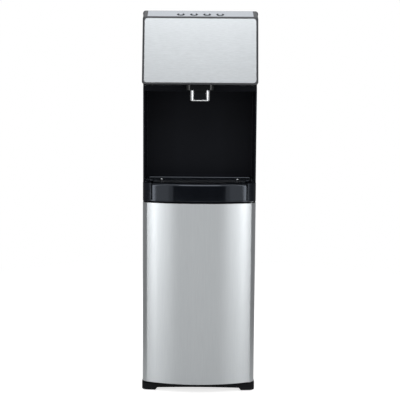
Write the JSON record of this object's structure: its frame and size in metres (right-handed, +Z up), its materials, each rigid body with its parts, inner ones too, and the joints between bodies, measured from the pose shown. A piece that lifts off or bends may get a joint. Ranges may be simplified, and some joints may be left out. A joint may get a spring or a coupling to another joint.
{
  "type": "bottom loading water cooler",
  "caption": "Tall bottom-loading water cooler with a bowed steel door, dark dispensing niche, single nozzle, sloped button strip and pull-out drip tray.",
  "frame": {"origin": "centre of the bounding box on the floor", "axes": "+Z up, -Y to the front with the niche and the door, +X to the viewer's right from the front"},
  "size_m": [0.312, 0.36, 1.04],
  "materials": {
    "brushed_stainless": "brushed",
    "silver_paint": "satin",
    "graphite_plastic": "satin",
    "piano_black": "gloss",
    "black_plastic": "matte",
    "chromed": "polished",
    "graphite_paint": "satin",
    "galvanised_sheet": "satin",
    "zinc_steel": "satin",
    "black_enamel": "gloss",
    "light_plastic": "satin",
    "grey_plastic": "matte",
    "foam": "matte",
    "circuit_green": "satin",
    "magnet_black": "matte",
    "black_rubber": "matte",
    "clear_hose": "satin"
  },
  "bodies": {
    "cabinet": {"apron": "piano_black", "back_panel": "galvanised_sheet", "back_screws": "zinc_steel", "base_pan": "galvanised_sheet", "base_plinth": "black_plastic", "bottle_mat": "grey_plastic", "button_board": "circuit_green", "button_rings": "black_plastic", "catch_plate": "galvanised_sheet", "cold_tank": "zinc_steel", "cold_tank_jacket": "foam", "cold_tank_lid": "light_plastic", "compressor": "graphite_paint", "compressor_mounts": "black_rubber", "condenser_brackets": "galvanised_sheet", "condenser_tube": "black_enamel", "condenser_wires": "black_enamel", "control_strip": "silver_paint", "cord_gland": "black_rubber", "deck_screws": "zinc_steel", "drain_spigot": "zinc_steel", "foot_pads": "black_rubber", "head_front_panel": "brushed_stainless", "head_shell": "graphite_plastic", "hinge_brackets": "galvanised_sheet", "hinge_pins": "zinc_steel", "hose_gland": "black_rubber", "hot_tank": "zinc_steel", "hot_tank_sleeve": "foam", "left_side_panel": "graphite_paint", "mid_shelf": "galvanised_sheet", "niche_shell": "piano_black", "nozzle_bezel": "chromed", "nozzle_collar": "piano_black", "nozzle_insert": "piano_black", "power_board": "circuit_green", "probe_cap": "black_plastic", "probe_clip": "black_plastic", "probe_hose": "clear_hose", "probe_wand": "light_plastic", "right_side_panel": "graphite_paint", "switch_plate": "black_plastic", "tank_shelf": "galvanised_sheet", "top_cover": "graphite_plastic", "water_pump": "black_plastic"},
    "door": {"door_skin": "brushed_stainless", "door_top_cap": "graphite_plastic", "door_bottom_cap": "graphite_plastic", "door_liner": "light_plastic", "hinge_bushes": "light_plastic", "door_magnet": "magnet_black"},
    "drip_tray": {"drip_tray": "piano_black"},
    "drip_grille": {"drip_grille": "black_plastic"},
    "hot_button": {"hot_button": "silver_paint"},
    "room_button": {"room_button": "silver_paint"},
    "cold_button": {"cold_button": "silver_paint"},
    "lock_button": {"lock_button": "silver_paint"},
    "hot_switch": {"hot_switch": "black_plastic"},
    "cold_switch": {"cold_switch": "black_plastic"},
    "drain_cap": {"drain_cap": "black_plastic"}
  },
  "joints": [
    {"name": "door_hinge", "type": "hinge", "parent": "cabinet", "child": "door", "pos_m": [0.1425, -0.135, 0.276], "axis": [0, 0, 1], "range_deg": [0, 115]},
    {"name": "drip_tray_slide", "type": "slide", "parent": "cabinet", "child": "drip_tray", "axis": [0, -1, 0], "range_m": [0, 0.12]},
    {"name": "drip_grille_lift", "type": "slide", "parent": "drip_tray", "child": "drip_grille", "axis": [0, 0, 1], "range_m": [0, 0.06]},
    {"name": "hot_button_press", "type": "slide", "parent": "cabinet", "child": "hot_button", "axis": [0, 0.3853, -0.9228], "range_m": [0, 0.0015], "stiffness_N_per_m": 800},
    {"name": "room_button_press", "type": "slide", "parent": "cabinet", "child": "room_button", "axis": [0, 0.3853, -0.9228], "range_m": [0, 0.0015], "stiffness_N_per_m": 800},
    {"name": "cold_button_press", "type": "slide", "parent": "cabinet", "child": "cold_button", "axis": [0, 0.3853, -0.9228], "range_m": [0, 0.0015], "stiffness_N_per_m": 800},
    {"name": "lock_button_press", "type": "slide", "parent": "cabinet", "child": "lock_button", "axis": [0, 0.3853, -0.9228], "range_m": [0, 0.0015], "stiffness_N_per_m": 800},
    {"name": "hot_switch_rock", "type": "hinge", "parent": "cabinet", "child": "hot_switch", "pos_m": [0.082, 0.1508, 0.96], "axis": [-1, 0, 0], "range_deg": [0, 16]},
    {"name": "cold_switch_rock", "type": "hinge", "parent": "cabinet", "child": "cold_switch", "pos_m": [0.108, 0.1508, 0.96], "axis": [-1, 0, 0], "range_deg": [0, 16]},
    {"name": "drain_cap_pull", "type": "slide", "parent": "cabinet", "child": "drain_cap", "axis": [0, 1, 0], "range_m": [0, 0.03]}
  ]
}
